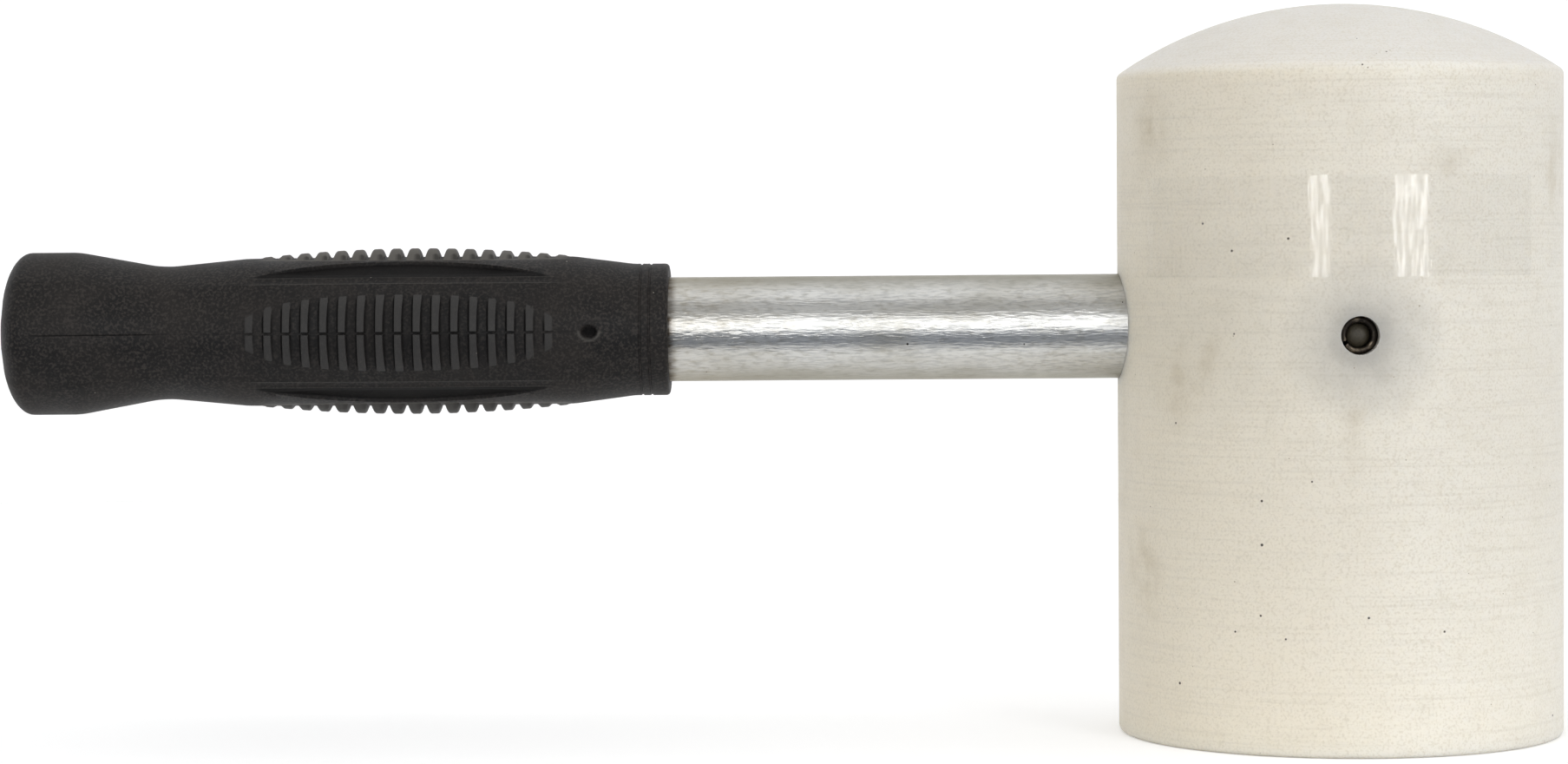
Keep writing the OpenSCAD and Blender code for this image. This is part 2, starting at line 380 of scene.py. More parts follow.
# %% [markdown]
# ## The label film
#
# A strip of clear film is stuck round the front of the head, and it is left bare. One upright edge is spun
# part of a turn about the head's axis. Stuck film is never quite even, so its face is lifted by a few
# hundredths of a millimetre in upright creases, which bend the lamps' glare. Its thickness comes last.

# %% Film shape
FILM_WRAP = math.radians(113)
FILM_TURN = math.radians(8)
FILM_T = 0.12
FILM_GAP = 0.03
FILM_STEPS = 150
FILM_ROWS = 12
CREASE_H = 0.02
# Waves that add up to the creases: strength, waves round the head, slant and start
CREASE_WAVES = ((1.0, 47, 0.22, 0.0), (0.7, 83, -0.31, 1.3), (0.5, 29, 0.55, 2.1))


def crease_height(turn, height):
    """Height of the film's creases from 0 to 1, at a turn about the head and a height in millimetres."""
    most = sum(strength for strength, *_ in CREASE_WAVES)
    total = sum(
        strength * math.sin(count * turn + slant * height + start)
        for strength, count, slant, start in CREASE_WAVES
    )
    return (total + most) / (2 * most)


def make_film():
    bm = bmesh.new()
    front = -HEAD_R - FILM_GAP
    draw_outline(bm, [(0, front, film_low.z), (0, front, film_high.z)])
    bmesh.ops.subdivide_edges(bm, edges=bm.edges, cuts=FILM_ROWS - 1)
    bmesh.ops.rotate(
        bm, verts=bm.verts, cent=(0, 0, 0), matrix=Matrix.Rotation(-FILM_TURN - FILM_WRAP / 2, 3, "Z"),
    )
    bmesh.ops.spin(
        bm, geom=bm.verts[:] + bm.edges[:], cent=(0, 0, 0), axis=(0, 0, 1), angle=FILM_WRAP,
        steps=FILM_STEPS,
    )
    for v in bm.verts:
        out = Vector((v.co.x, v.co.y, 0)).normalized()
        v.co += out * MM * CREASE_H * crease_height(math.atan2(v.co.x, -v.co.y), v.co.z / MM)
    bmesh.ops.recalc_face_normals(bm, faces=bm.faces)
    faces_in = sum(f.normal.dot(f.calc_center_median()) for f in bm.faces) < 0
    if faces_in:
        bmesh.ops.reverse_faces(bm, faces=bm.faces)
    bmesh.ops.solidify(bm, geom=bm.faces[:], thickness=-FILM_T * MM)
    return finished("label_film_clear", bm)


film = make_film()
film_reach = max(math.hypot(v.co.x, v.co.y) for v in film.data.vertices) / MM
print("film laid: %d faces, %.2f mm from the head's axis" % (len(film.data.polygons), film_reach))

# %% [markdown]
# ## The grip: edge loops
#
# The grip is moulded rubber and the most worked piece of this tool: a knob, a waist, a barrel with four
# pads of ribs, four thumb scoops and a collar. All of it stands on one turned outline. Ribs need an edge
# loop at each foot and each crest, so the places of those loops are worked out first.

# %% Grip edge loops
KNOB_X = grip_low.x
END_WALL = 5.0
KNOB_R = 16.6
KNOB_L = 15.6
KNOB_FLAT_R = 7.0
KNOB_ROUND_L = 5.0
# The moulding's soft edges end a little inside the CAD model's box
KNOB_INSET = 1.0
MOUTH_INSET = 0.5
WAIST_AT = 33.0
WAIST_R = 13.4
BARREL_AT = 50.0
BARREL_END = 117.0
BARREL_R = 15.05
BARREL_SWELL = 0.15
COLLAR_R = 13.45
COLLAR_AT = 129.3
MOUTH_EDGE_R = 0.8
# Radii that round the outline's corners, from the knob to the collar
BEND_RADII = (14, 20, 14, 12, 10)
GRIP_STEPS = 168

RIB_PITCH = 3.77
RIB_COUNT = 17
RIB_H = 1.75
SIDE_MID = (BARREL_AT + BARREL_END) / 2 - RIB_PITCH / 4
TOP_MID = SIDE_MID + RIB_PITCH / 2

# Distances from a rib's middle to its edge loops, from the flat of the crest to the foot
SIDE_LOOPS = (0.0, 0.515, 0.675, 0.89)
TOP_LOOPS = (0.0, 0.58, 0.8, 0.95, 1.47)

GATE_AT = 120.8
RINGS_AT = (130.9, 132.8)
RING_LOOPS = (-0.3, -0.14, 0.14, 0.3)
# Plain stretches with edge loops, on the knob and waist, the taper and the gate: start, end and spacing
LOOP_RUNS = (
    (8.0, BARREL_AT, 1.6), (BARREL_END + 0.6, COLLAR_AT, 0.9), (GATE_AT - 2.4, GATE_AT + 2.5, 0.24),
)
LEAST_LOOP_GAP = 0.03


def loop_places():
    """Distances from the knob's end at which the outline gets an edge loop."""
    places = [place for run in LOOP_RUNS for place in np.arange(*run)]
    for i in range(RIB_COUNT):
        step = (i - RIB_COUNT // 2) * RIB_PITCH
        for loops, middle in ((SIDE_LOOPS, SIDE_MID), (TOP_LOOPS, TOP_MID)):
            places += [middle + step + sign * d for d in loops for sign in (-1, 1)]
    for ring in RINGS_AT:
        places += [ring + d for d in RING_LOOPS]
    places.sort()
    return [p for p, q in zip(places, places[1:] + [GRIP_L]) if q - p > LEAST_LOOP_GAP]


loops_at = loop_places()
print("edge loops along the grip:", len(loops_at))

# %% [markdown]
# ## The grip: outline
#
# The knob's end is a quarter of a circle, stretched. Straight runs with rounded corners follow it, and the
# outline is cut by a plane at each edge loop before it is spun. The wall and the bore come after those
# cuts, because the bore needs none.

# %% Grip outline
def draw_grip_outline(bm):
    corner = bm.verts.new((-1, 0, 0))
    quarter = bmesh.ops.spin(
        bm, geom=[corner], cent=(0, 0, 0), axis=(0, 1, 0), angle=math.pi / 2, steps=14,
    )
    bmesh.ops.scale(bm, verts=bm.verts, vec=Vector((KNOB_ROUND_L, 1, KNOB_R - KNOB_FLAT_R)) * MM)
    knob_round = KNOB_X + KNOB_INSET + KNOB_ROUND_L
    bmesh.ops.translate(bm, verts=bm.verts, vec=Vector((knob_round, 0, HANDLE_H + KNOB_FLAT_R)) * MM)
    knob_end = quarter["geom_last"][0]
    mouth_at = GRIP_L - MOUTH_INSET
    side = draw_outline(bm, [
        (KNOB_X + u, 0, HANDLE_H + r) for u, r in (
            (KNOB_L, KNOB_R), (WAIST_AT, WAIST_R), (BARREL_AT, BARREL_R), (BARREL_END, BARREL_R),
            (COLLAR_AT, COLLAR_R), (mouth_at, COLLAR_R),
        )
    ])
    bm.edges.new((knob_end, side[0]))
    for vert, radius in zip(side, BEND_RADII):
        round_corner(bm, vert, radius, segments=6)
    for place in loops_at:
        bmesh.ops.bisect_plane(
            bm, geom=bm.verts[:] + bm.edges[:], dist=0.002 * MM,
            plane_co=((KNOB_X + place) * MM, 0, 0), plane_no=(1, 0, 0),
        )
    mouth = max(bm.verts, key=lambda v: v.co.x)
    flat = min(bm.verts, key=lambda v: v.co.z)
    bore_h = HANDLE_H + TUBE_R + FIT_GAP
    bore = draw_outline(bm, [
        (KNOB_X + mouth_at, 0, bore_h), (KNOB_X + END_WALL, 0, bore_h), (KNOB_X + END_WALL, 0, HANDLE_H),
    ])
    bm.edges.new((mouth, bore[0]))
    end = bm.verts.new(Vector((KNOB_X + KNOB_INSET, 0, HANDLE_H)) * MM)
    bm.edges.new((flat, end))
    round_corner(bm, mouth, MOUTH_EDGE_R, segments=4)


grip_mesh = bmesh.new()
draw_grip_outline(grip_mesh)
print("grip outline:", len(grip_mesh.verts), "points")
spin_round(grip_mesh, (0, 0, HANDLE_H), (1, 0, 0), GRIP_STEPS)
bmesh.ops.remove_doubles(grip_mesh, verts=grip_mesh.verts, dist=MERGE_DIST)
print("grip spun:", len(grip_mesh.faces), "faces")

# %% [markdown]
# ## The grip: columns that follow the edges
#
# The spun surface is carved by moving its vertices, as a sculptor would. First its 168 columns are turned,
# so that some of them run along the edges of the pads and scoops, because an edge that follows a column
# stays crisp. The pads are those of the CAD model: a round bar, bent along the barrel, whose height over
# the barrel gives the crests.

# %% Grip columns
SIDE_PAD_W = 15.5
TOP_PAD_W = 9.0
GAP_TURN = 0.72
GAP_WALL_TURN = 0.3
SCOOP_TURN = 58.5
SCOOP_W = 6.0
SCOOP_L = 63.0
SCOOP_DEPTH = 1.0
BEVEL_TURN = 40.8
EDGE_TURN = 0.6
ARCH_WALL_TURN = 1.0

MID_R = BARREL_R + BARREL_SWELL
SCOOP_IN = SCOOP_TURN - math.degrees(math.asin(SCOOP_W / 2 / MID_R))

# Columns from the middle of a side pad up to the middle of the top pad, and which of them are edges
QUARTER = GRIP_STEPS // 4
GAP_COLUMN, PAD_COLUMN, BEVEL_COLUMN, SCOOP_COLUMN, ARCH_COLUMN, TOP_COLUMN = 2, 12, 14, 18, 29, 33
KNOT_COLUMNS = (
    0, GAP_COLUMN, GAP_COLUMN + 1, PAD_COLUMN - 1, PAD_COLUMN,
    BEVEL_COLUMN - 1, BEVEL_COLUMN, BEVEL_COLUMN + 1, SCOOP_COLUMN - 1, SCOOP_COLUMN, SCOOP_COLUMN + 1,
    ARCH_COLUMN - 1, ARCH_COLUMN, TOP_COLUMN, TOP_COLUMN + 1, QUARTER,
)
# The pads' edges stay between these turns, and the scoops this wide, so that no columns cross
SIDE_EDGE_TURNS = (14, 34)
TOP_EDGE_TURNS = (72.6, 80)
LEAST_SCOOP_TURN = 2.4


def arc_r(half_w, rise):
    """Radius of the arc with this half width and rise."""
    return (half_w ** 2 + rise ** 2) / (2 * rise)


def barrel_at(u):
    """The barrel's radius at a distance from the knob's end."""
    share = np.clip((u - BARREL_AT) / (BARREL_END - BARREL_AT), 0, 1) * 2 - 1
    return BARREL_R + BARREL_SWELL * (1 - share ** 2)


def pad_crest(u, turn, pad_w, middle):
    """Height of a pad's crest above the barrel, at a turn from the pad's middle in degrees."""
    edge_fall = RIB_H + MID_R - math.sqrt(MID_R ** 2 - (pad_w / 2) ** 2)
    bar_r = arc_r(pad_w / 2, edge_fall)
    bend_r = arc_r(RIB_COUNT * RIB_PITCH / 2, RIB_H)
    away = np.clip(u - middle, -bend_r, bend_r)
    centre = MID_R + RIB_H - (bend_r - np.sqrt(bend_r ** 2 - away ** 2)) - bar_r
    inside = np.maximum(bar_r ** 2 - (centre * np.sin(np.radians(turn))) ** 2, 0)
    return np.maximum(centre * np.cos(np.radians(turn)) + np.sqrt(inside) - barrel_at(u), 0)


def pad_edge(u, pad_w, middle):
    """Turn in degrees at which a pad's crest runs out on the barrel."""
    step = 0.1
    turns = np.arange(0.0, 45.0, step)
    return (pad_crest(u[:, None], turns[None, :], pad_w, middle) > 0).sum(axis=1) * step


def scoop_edge(u):
    """Turn in degrees of a scoop's arched edge."""
    arch_r = arc_r(SCOOP_L / 2, SCOOP_W)
    away = np.clip(np.abs(u - SIDE_MID), 0, SCOOP_L / 2)
    across = np.sqrt(arch_r ** 2 - away ** 2) - arch_r + SCOOP_W / 2
    return SCOOP_TURN + np.degrees(np.arcsin(across / MID_R))


def column_turn(u, column):
    """Turn in degrees from the middle of a side pad, for a place along the grip and a column."""
    known, back = np.unique(np.round(u, 4), return_inverse=True)
    even = np.ones_like(known)
    side = np.clip(pad_edge(known, SIDE_PAD_W, SIDE_MID), *SIDE_EDGE_TURNS)
    top = np.clip(90 - pad_edge(known, TOP_PAD_W, TOP_MID), *TOP_EDGE_TURNS)
    arch = np.maximum(scoop_edge(known), SCOOP_IN + LEAST_SCOOP_TURN)
    knots = np.stack([
        even * 0, even * GAP_TURN, even * (GAP_TURN + GAP_WALL_TURN), side - EDGE_TURN, side,
        even * (BEVEL_TURN - EDGE_TURN), even * BEVEL_TURN, even * (BEVEL_TURN + EDGE_TURN),
        even * (SCOOP_IN - EDGE_TURN), even * SCOOP_IN, even * (SCOOP_IN + EDGE_TURN),
        arch - ARCH_WALL_TURN, arch, top, top + EDGE_TURN, even * 90,
    ], axis=1)
    turns = np.stack([np.interp(np.arange(QUARTER + 1), KNOT_COLUMNS, row) for row in knots])
    return turns[back.reshape(-1), column]


print("scoop from %.1f to %.1f degrees" % (SCOOP_IN, scoop_edge(np.array([SIDE_MID]))[0]))

# %% [markdown]
# ## The grip: ribs
#
# On a rib, a vertex moves up to the pad's crest. A rib's flanks slope, so it is wider where its crest is
# lower, and its edge loops move outwards there. Painted shadow darkens the ground at the feet of the side
# ribs, more on their left, and painted shade darkens one flank at the ends of the top and bottom ribs.

# %% Grip ribs
SIDE_RIB = dict(loops=SIDE_LOOPS, drops=(0.0, 0.0, 0.05), slope=math.tan(math.radians(7)))
TOP_RIB = dict(loops=TOP_LOOPS, drops=(0.0, 0.0, 0.06, 0.2), slope=math.tan(math.radians(18)))
# A crest lower than this isn't raised, and a flank is never narrower than this
LEAST_CREST = 0.02
LEAST_FLANK = 0.04
# Where painted shadow lies past a side rib's foot loop, and painted shade on the ends of the top and bottom
# ribs
FOOT_SPAN = (-0.02, 0.21)
RIB_END_COLUMNS = 4
RIB_END_FLANK = (0.3, 1.0)
# How dark a place is painted, from 0 to 1: painted shadow at the side ribs' feet, heavier on the left,
# painted shade on the ends of the top and bottom ribs, the scoops darker, partly for their smoother floor
# and partly as painted shade, and the ground beside the side ribs darker
PAINTED_SHADE_AND_DARKENING = dict(foot_shadow_left=1.0, foot_shadow_right=0.4, top_end_shade=0.7, bottom_end_shade=0.4, scoop=0.95, ground=0.3)


def fade(value, low, high):
    """0 below low, 1 above high, smooth between."""
    t = np.clip((value - low) / (high - low), 0, 1)
    return t * t * (3 - 2 * t)


def rib_profile(u, middle, crest, full, loops, drops, slope):
    """Where a rib's edge loops move to along the grip, and their height above the barrel."""
    number = np.clip(np.round((u - middle) / RIB_PITCH), -(RIB_COUNT // 2), RIB_COUNT // 2)
    off = u - middle - number * RIB_PITCH
    width = np.abs(off)
    edge, foot = loops[-2], loops[-1]
    wider = np.minimum(edge + (full - crest) * slope, foot - LEAST_FLANK)
    flank = wider + (width - edge) * (foot - wider) / (foot - edge)
    moved = np.where(width <= edge, width * wider / edge, np.where(width <= foot, flank, width))
    drop = np.minimum(np.interp(width, loops[:-1], drops), 0.5 * crest)
    edge_height = crest - np.minimum(drops[-1], 0.5 * crest)
    on_flank = edge_height * np.clip((foot - width) / (foot - edge), 0, 1)
    height = np.where(width <= edge, crest - drop, on_flank)
    rises = crest > LEAST_CREST
    moved_u = middle + number * RIB_PITCH + np.sign(off) * moved
    return np.where(rises, moved_u, u), np.where(rises, height, 0)


def side_ribs(u, turn, column):
    """Side pads, parted along the moulding line: place along the grip, height and painted shadow at the
    feet.
    """
    crest = np.where(column <= GAP_COLUMN, 0, pad_crest(u, turn, SIDE_PAD_W, SIDE_MID))
    full = pad_crest(u, np.zeros_like(u), SIDE_PAD_W, SIDE_MID)
    new_u, height = rib_profile(u, SIDE_MID, crest, full, **SIDE_RIB)
    from_rib = u - SIDE_MID - RIB_PITCH * np.round((u - SIDE_MID) / RIB_PITCH)
    past_foot = np.abs(from_rib) - SIDE_LOOPS[-1]
    at_foot = (past_foot > FOOT_SPAN[0]) & (past_foot < FOOT_SPAN[1])
    # Painted shadow on the ground at each side rib's foot, darker on the left side of the rib
    foot_shadow = np.where(from_rib < 0, PAINTED_SHADE_AND_DARKENING["foot_shadow_left"], PAINTED_SHADE_AND_DARKENING["foot_shadow_right"])
    return new_u, height, at_foot * foot_shadow * fade(crest, low=0.05, high=0.5)


def top_ribs(u, turn, column, below):
    """Top and bottom pads: place along the grip, height, painted shade on the rib ends and the rim's painted
    highlight.
    """
    crest = pad_crest(u, 90 - turn, TOP_PAD_W, TOP_MID)
    full = pad_crest(u, np.zeros_like(u), TOP_PAD_W, TOP_MID)
    new_u, height = rib_profile(u, TOP_MID, crest, full, **TOP_RIB)
    from_rib = u - TOP_MID - RIB_PITCH * np.round((u - TOP_MID) / RIB_PITCH)
    on_flank = (from_rib > RIB_END_FLANK[0]) & (from_rib < RIB_END_FLANK[1])
    # Painted shade on the flank that the next rib hides from the lamps, near the ends of the top and bottom
    # ribs
    rib_end = (column > TOP_COLUMN) & (column < TOP_COLUMN + RIB_END_COLUMNS) & on_flank
    end_shade = np.where(below, PAINTED_SHADE_AND_DARKENING["bottom_end_shade"], PAINTED_SHADE_AND_DARKENING["top_end_shade"])
    darkening = rib_end * end_shade * fade(full, low=0.3, high=0.8)
    return new_u, height, darkening, (column == TOP_COLUMN) * fade(full, low=0.1, high=0.4)


print("ribs: %d on each pad, up to %.2f mm high" % (RIB_COUNT, RIB_H))

# %% [markdown]
# ## The grip: scoops
#
# A thumb scoop's floor falls from a straight edge to an arched wall. Between it and the side pad lies a
# bevel, which is slightly hollow.

# %% Grip scoops
# A scoop's ends and its floor run out over a length and a turn. Its straight edge has a share of the depth
SCOOP_RUNOUT = 14.0
SCOOP_FALL_TURN = 9.0
SCOOP_EDGE_SHARE = 0.2
HOLLOW_DEPTH = 0.14
HOLLOW_PAST = 3.0
HOLLOW_RUNOUT = 8.0


def scoop_shape(u, turn, column):
    """Which vertices lie in a scoop, the depth of scoops and bevels, and the stretch beside the scoops."""
    away = np.abs(u - SIDE_MID)
    floor_r = (MID_R - SCOOP_DEPTH) / np.cos(np.radians(turn - SCOOP_TURN))
    in_scoop = (column > SCOOP_COLUMN) & (column < ARCH_COLUMN) & (away < SCOOP_L / 2)
    across = fade(turn, SCOOP_IN, SCOOP_IN + SCOOP_FALL_TURN)
    fall = SCOOP_EDGE_SHARE + (1 - SCOOP_EDGE_SHARE) * across
    fall *= fade(SCOOP_L / 2 - away, 0, SCOOP_RUNOUT)
    scoop = np.where(in_scoop, np.maximum(barrel_at(u) - floor_r, 0) * fall, 0)
    half_bevel = (SCOOP_IN - BEVEL_TURN) / 2
    hollow = np.clip(1 - ((turn - BEVEL_TURN - half_bevel) / half_bevel) ** 2, 0, 1)
    beside = fade(SCOOP_L / 2 + HOLLOW_PAST - away, 0, HOLLOW_RUNOUT)
    return in_scoop, scoop + HOLLOW_DEPTH * hollow * beside, beside


print("scoops: %.0f mm long, %.1f mm deep" % (SCOOP_L, SCOOP_DEPTH))

# %% [markdown]
# ## The grip: moulding marks
#
# The mould's halves met in a line along both sides, which is deepest on the knob. The rubber came in through
# a gate on the front, and left a dimple with a torn lower lip.

# %% Grip moulding marks
# The moulding line's ends and the stretch where it is deep, how they run out, and its depth elsewhere
LINE_DEPTH = 0.13
LINE_SPAN = (4.0, 128.0)
LINE_RUNOUT = 4.0
LINE_DEEP_SPAN = (8.0, 36.0)
LINE_DEEP_RUNOUTS = (3.0, 6.0)
LINE_SHALLOW = 0.3

# The gate's dimple is an ellipse, and its wall and lip are given as shares of the ellipse's size
GATE_DEPTH = 1.1
GATE_HALF_L = 1.75
GATE_HALF_H = 1.35
GATE_EDGE = 1.02
GATE_WALL = 0.45
LIP_EDGE = 1.2
LIP_SPREAD = 0.16
LIP_H = 0.16
LIP_TOP = 0.2


def moulding_line(u, column):
    """Depth of the moulding line, from 0 to 1."""
    line = np.interp(column, [0, 1, 2], [1, 0.5, 0])
    line *= fade(u - LINE_SPAN[0], 0, LINE_RUNOUT) * fade(LINE_SPAN[1] - u, 0, LINE_RUNOUT)
    deep = fade(u - LINE_DEEP_SPAN[0], 0, LINE_DEEP_RUNOUTS[0])
    deep *= fade(LINE_DEEP_SPAN[1] - u, 0, LINE_DEEP_RUNOUTS[1])
    return line * (LINE_SHALLOW + (1 - LINE_SHALLOW) * deep)


def gate_marks(u, turn, below, front):
    """Depth of the gate's dimple and height of its torn lower lip, from 0 to 1."""
    rise = np.radians(turn) * COLLAR_R * np.where(below, -1, 1)
    reach = np.hypot((u - GATE_AT) / GATE_HALF_L, rise / GATE_HALF_H)
    dimple = np.where(front, fade(GATE_EDGE - reach, 0, GATE_WALL), 0)
    lip = np.where(front & (rise < LIP_TOP), np.exp(-((reach - LIP_EDGE) / LIP_SPREAD) ** 2), 0)
    return dimple, lip


print("moulding line: %.2f mm deep, gate: %.1f mm deep" % (LINE_DEPTH, GATE_DEPTH))

# %% [markdown]
# ## The grip: carving
#
# Each vertex finds its column and its turn, and moves by what the shapes above say there. What they know
# about it is kept with it for the finish: crests are paler, partly for dust and partly as painted light on
# the raised tops; edges and the pads' rims get painted highlights, the top ribs painted light, and the
# gate's torn lip is paler; the ribs' feet and ends get painted shadow and shade, the scoops are darker,
# partly as painted shade, the ground beside the side ribs is darker, the moulding line holds dark dirt and
# the gate's dimple is darker.

# %% Grip carving
# Vertices further from the axis than this are on the outside
OUTSIDE_FROM = TUBE_R + 1.0
# A rib lower than this counts as ground
LEAST_RIB_H = 0.03
RING_DEPTH = 0.2
RING_HALF_W = 0.2
# Darkening runs out at a scoop's ends, and on the ground beside the side ribs from some way past them
SCOOP_DARK_RUNOUT = 3.0
GROUND_PAST = 6.0
GROUND_RUNOUT = 12.0
# How pale a place is painted, from 0 to 1: painted highlights on the scoop and bevel edges, painted light
# on the top and bottom ribs, more on the top ones, and the gate's torn lip paler
HIGHLIGHT_AND_WEAR = dict(scoop_edge=0.25, bevel_highlight=0.5, gate_lip=0.6, top_ribs=0.95, bottom_ribs=0.3)


def carve(bm):
    """Moves the grip's vertices. Returns for each, from 0 to 1, how much it is a crest, how dark it is
    painted, for painted shade and dirt, and how pale, for painted highlights and wear.
    """
    place = np.array([v.co for v in bm.verts]) / MM
    u = place[:, 0] - KNOB_X
    radius = np.hypot(place[:, 1], place[:, 2] - HANDLE_H)
    angle = np.degrees(np.arctan2(-place[:, 1], place[:, 2] - HANDLE_H)) % 360
    step = np.round(angle / 360 * GRIP_STEPS).astype(int) % GRIP_STEPS
    front = step < 2 * QUARTER
    fold = step % (2 * QUARTER) - QUARTER
    column = np.abs(fold)
    below = fold > 0
    turn = column_turn(u, column)
    outer = radius > OUTSIDE_FROM
    on_barrel = (u > BARREL_AT) & (u < BARREL_END)

    side_u, side_h, foot_shadow = side_ribs(u, turn, column)
    top_u, top_h, end_shade, rim_highlight = top_ribs(u, turn, column, below)
    in_scoop, scoop, beside = scoop_shape(u, turn, column)
    line = moulding_line(u, column)
    dimple, lip = gate_marks(u, turn, below, front)

    new_u = np.where(side_h > 0, side_u, np.where(top_h > 0, top_u, u))
    lift = np.where(on_barrel, side_h + top_h + barrel_at(u) - BARREL_R, 0)
    lift -= scoop
    lift -= LINE_DEPTH * line
    lift -= GATE_DEPTH * dimple - LIP_H * lip
    for ring in RINGS_AT:
        lift -= RING_DEPTH * (np.abs(u - ring) < RING_HALF_W)
    radius = np.where(outer, radius + lift, radius)
    new_angle = np.radians(np.where(front, 90, 270) + np.where(below, 1, -1) * turn)
    place[:, 0] = np.where(outer, new_u, u) + KNOB_X
    place[:, 1] = -radius * np.sin(new_angle)
    place[:, 2] = HANDLE_H + radius * np.cos(new_angle)
    for v, co in zip(bm.verts, place):
        v.co = Vector(co) * MM

    # Painted highlights on the scoop and bevel edges and the pads' rims, where edges catch the light,
    # painted light on the top and bottom ribs, more on top, and the torn gate lip paler
    wear_and_highlight = HIGHLIGHT_AND_WEAR["scoop_edge"] * (column == SCOOP_COLUMN) * beside
    wear_and_highlight += HIGHLIGHT_AND_WEAR["bevel_highlight"] * (column == BEVEL_COLUMN) * beside
    wear_and_highlight += HIGHLIGHT_AND_WEAR["gate_lip"] * lip + rim_highlight
    wear_and_highlight += np.where(below, HIGHLIGHT_AND_WEAR["bottom_ribs"], HIGHLIGHT_AND_WEAR["top_ribs"]) * (top_h > LEAST_RIB_H)
    inside_end = SCOOP_L / 2 - np.abs(u - SIDE_MID)
    ground = (column < SCOOP_COLUMN) & (side_h < LEAST_RIB_H)
    # The scoops are darker, partly for their smoother floor and partly as painted shade in the recess, and
    # the ground beside the side ribs is darker
    shaded = PAINTED_SHADE_AND_DARKENING["scoop"] * in_scoop * fade(inside_end, 0, SCOOP_DARK_RUNOUT)
    shaded += PAINTED_SHADE_AND_DARKENING["ground"] * ground * fade(inside_end + GROUND_PAST, 0, GROUND_RUNOUT)
    return {
        # Crests are paler, partly for dust and partly as painted light on the raised tops
        "crest": outer * (side_h + top_h > LEAST_RIB_H),
        "dark": outer * np.clip(shaded + dimple + foot_shadow + end_shade + line, 0, 1),
        "wear_and_highlight": outer * np.clip(wear_and_highlight, 0, 1),
    }


kept = carve(grip_mesh)
for name, shares in kept.items():
    layer = grip_mesh.verts.layers.float.new(name)
    for v, share in zip(grip_mesh.verts, shares):
        v[layer] = share
    print("%s: %.0f%% of the vertices" % (name, 100 * np.mean(shares > 0)))
grip = finished("grip_rubber", grip_mesh, crease=50)
print("grip carved:", len(grip.data.polygons), "faces")

# %% [markdown]
# ## Layers of colour
#
# A used finish is a plain colour under thin layers: tints where some pattern is strong, and specks
# scattered by chance. Three small groups of nodes come back in several finishes, so each has a function:
# a pattern that is longer one way than another, tints laid over a colour, and specks.

# %% Layer helpers
def stretched_pattern(tree, place, spacing, detail):
    """A cloudy pattern whose features are this far apart along X, Y and Z, in millimetres."""
    stretched = add_node(tree, "ShaderNodeMapping", {
        "Vector": place, "Scale": [1 / (gap * MM) for gap in spacing],
    })
    return add_node(tree, "ShaderNodeTexNoise", {
        "Vector": stretched.outputs[0], "Scale": 1.0, "Detail": detail,
    }).outputs["Fac"]


def add_tints(tree, colour, tints):
    """Lays tints over a colour: a pattern, its values where the tint starts and is full, strength, hex."""
    for pattern, start, full, strength, hex_colour in tints:
        share = add_node(tree, "ShaderNodeMapRange", {
            "Value": pattern, "From Min": start, "From Max": full, "To Max": strength,
        })
        colour = add_node(tree, "ShaderNodeMix", {
            0: share.outputs[0], 6: colour, 7: linear(hex_colour),
        }, data_type="RGBA").outputs[2]
    return colour


def add_specks(tree, place, colour, cell, largest, hex_colour, draw=0):
    """Scatters specks in half of the cells, with a radius by chance up to the largest, in millimetres."""
    cells = add_node(tree, "ShaderNodeTexVoronoi", {"Vector": place, "Scale": 1 / (cell * MM)})
    chance = add_node(tree, "ShaderNodeSeparateColor", {0: cells.outputs["Color"]})
    size = add_node(tree, "ShaderNodeMapRange", {
        "Value": chance.outputs[draw], "From Min": 0.5, "To Max": largest / cell,
    })
    speck = add_node(tree, "ShaderNodeMath", {
        0: size.outputs[0], 1: cells.outputs["Distance"],
    }, operation="GREATER_THAN")
    return add_node(tree, "ShaderNodeMix", {
        0: speck.outputs[0], 6: colour, 7: linear(hex_colour),
    }, data_type="RGBA").outputs[2]


print("layer helpers ready: pattern, tints, specks")
